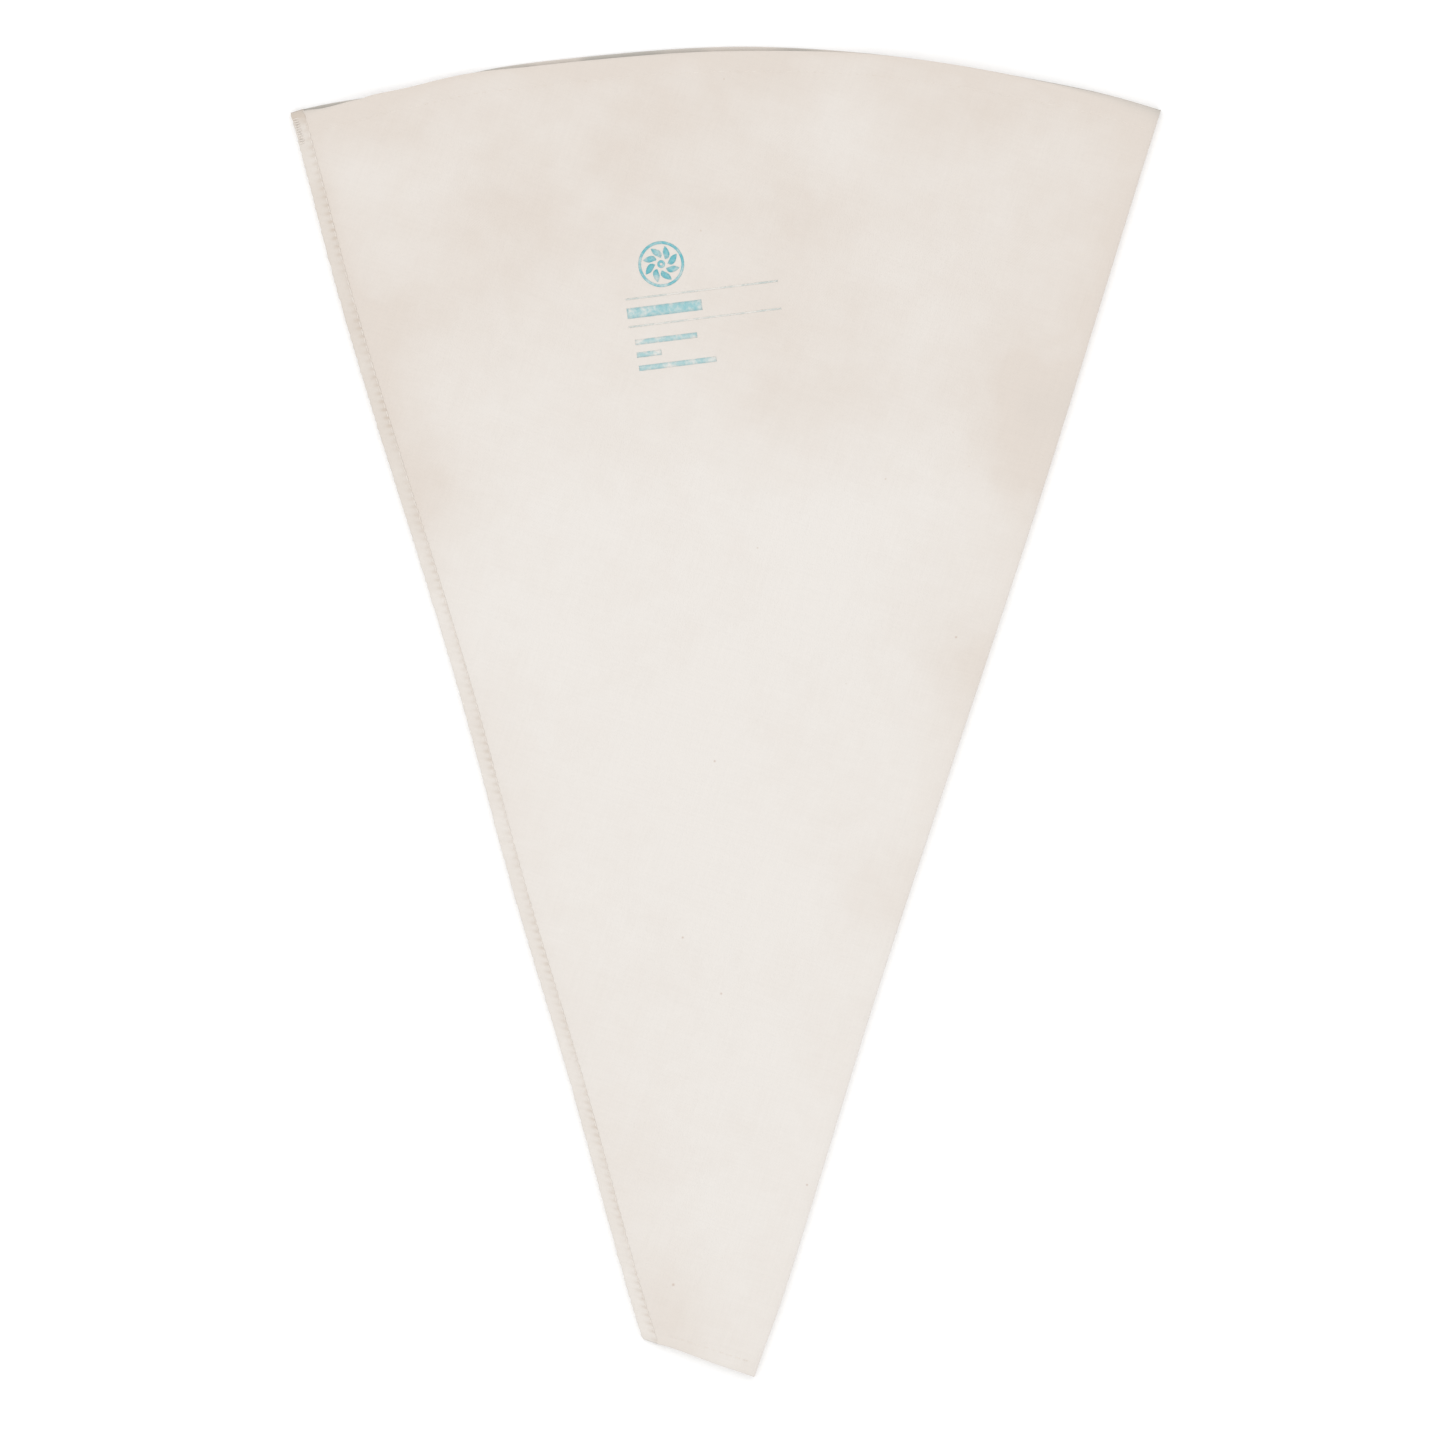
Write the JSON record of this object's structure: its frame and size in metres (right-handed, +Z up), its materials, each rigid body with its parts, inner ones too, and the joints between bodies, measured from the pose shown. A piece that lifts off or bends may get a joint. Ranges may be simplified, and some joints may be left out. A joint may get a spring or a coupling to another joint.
{
  "type": "piping bag",
  "caption": "Flat canvas piping bag: a cone folded on one side and sewn on the other, with a hemmed arc mouth, a small hemmed tip and a printed mark; the mouth opens.",
  "frame": {"origin": "bottom centre of the flat bag: the middle of its outline, on the back panel's outer face", "axes": "+Y from the tip to the mouth along the centre crease, +X from the sewn side to the folded side, +Z up through the printed front"},
  "size_m": [0.2668, 0.4072, 0.0041],
  "materials": {
    "canvas": "matt plain-weave cotton",
    "hem_canvas": "matt plain-weave cotton",
    "thread": "matt spun thread",
    "ink": "matt ink soaked into the weave"
  },
  "bodies": {
    "back_left": {"back_left_panel": "canvas", "mouth_hem_back_left": "hem_canvas", "tip_hem_back_left": "hem_canvas", "mouth_thread_back_left": "thread", "tip_thread_back_left": "thread", "seam_edge_front": "canvas", "seam_allowance_front": "hem_canvas", "seam_allowance_back": "hem_canvas", "seam_thread_top": "thread", "seam_thread_under": "thread", "seam_backtack": "thread"},
    "front_left": {"front_left_panel": "canvas", "mouth_hem_front_left": "hem_canvas", "tip_hem_front_left": "hem_canvas", "mouth_thread_front_left": "thread", "tip_thread_front_left": "thread", "printed_mark_left": "ink"},
    "front_right": {"front_right_panel": "canvas", "mouth_hem_front_right": "hem_canvas", "tip_hem_front_right": "hem_canvas", "side_fold_front": "canvas", "mouth_thread_front_right": "thread", "tip_thread_front_right": "thread", "printed_mark_right": "ink"},
    "back_right": {"back_right_panel": "canvas", "mouth_hem_back_right": "hem_canvas", "tip_hem_back_right": "hem_canvas", "side_fold_back": "canvas", "mouth_thread_back_right": "thread", "tip_thread_back_right": "thread"}
  },
  "joints": [
    {"name": "seam_hinge", "type": "hinge", "parent": "back_left", "child": "front_left", "pos_m": [0.00158, -0.24705, 0.0019], "axis": [0.2917, -0.9565, 0], "range_deg": [0, 90]},
    {"name": "front_crease", "type": "hinge", "parent": "front_left", "child": "front_right", "pos_m": [0.00158, -0.24705, 0.0028], "axis": [0, 1, 0], "range_deg": [0, 88]},
    {"name": "back_crease", "type": "hinge", "parent": "back_left", "child": "back_right", "pos_m": [0.00158, -0.24705, 0.001], "axis": [0, -1, 0], "range_deg": [0, 88]}
  ],
  "couplings": [
    {"joint": "front_crease", "follows": "seam_hinge", "ratio": 0.967},
    {"joint": "back_crease", "follows": "seam_hinge", "ratio": 0.967}
  ]
}
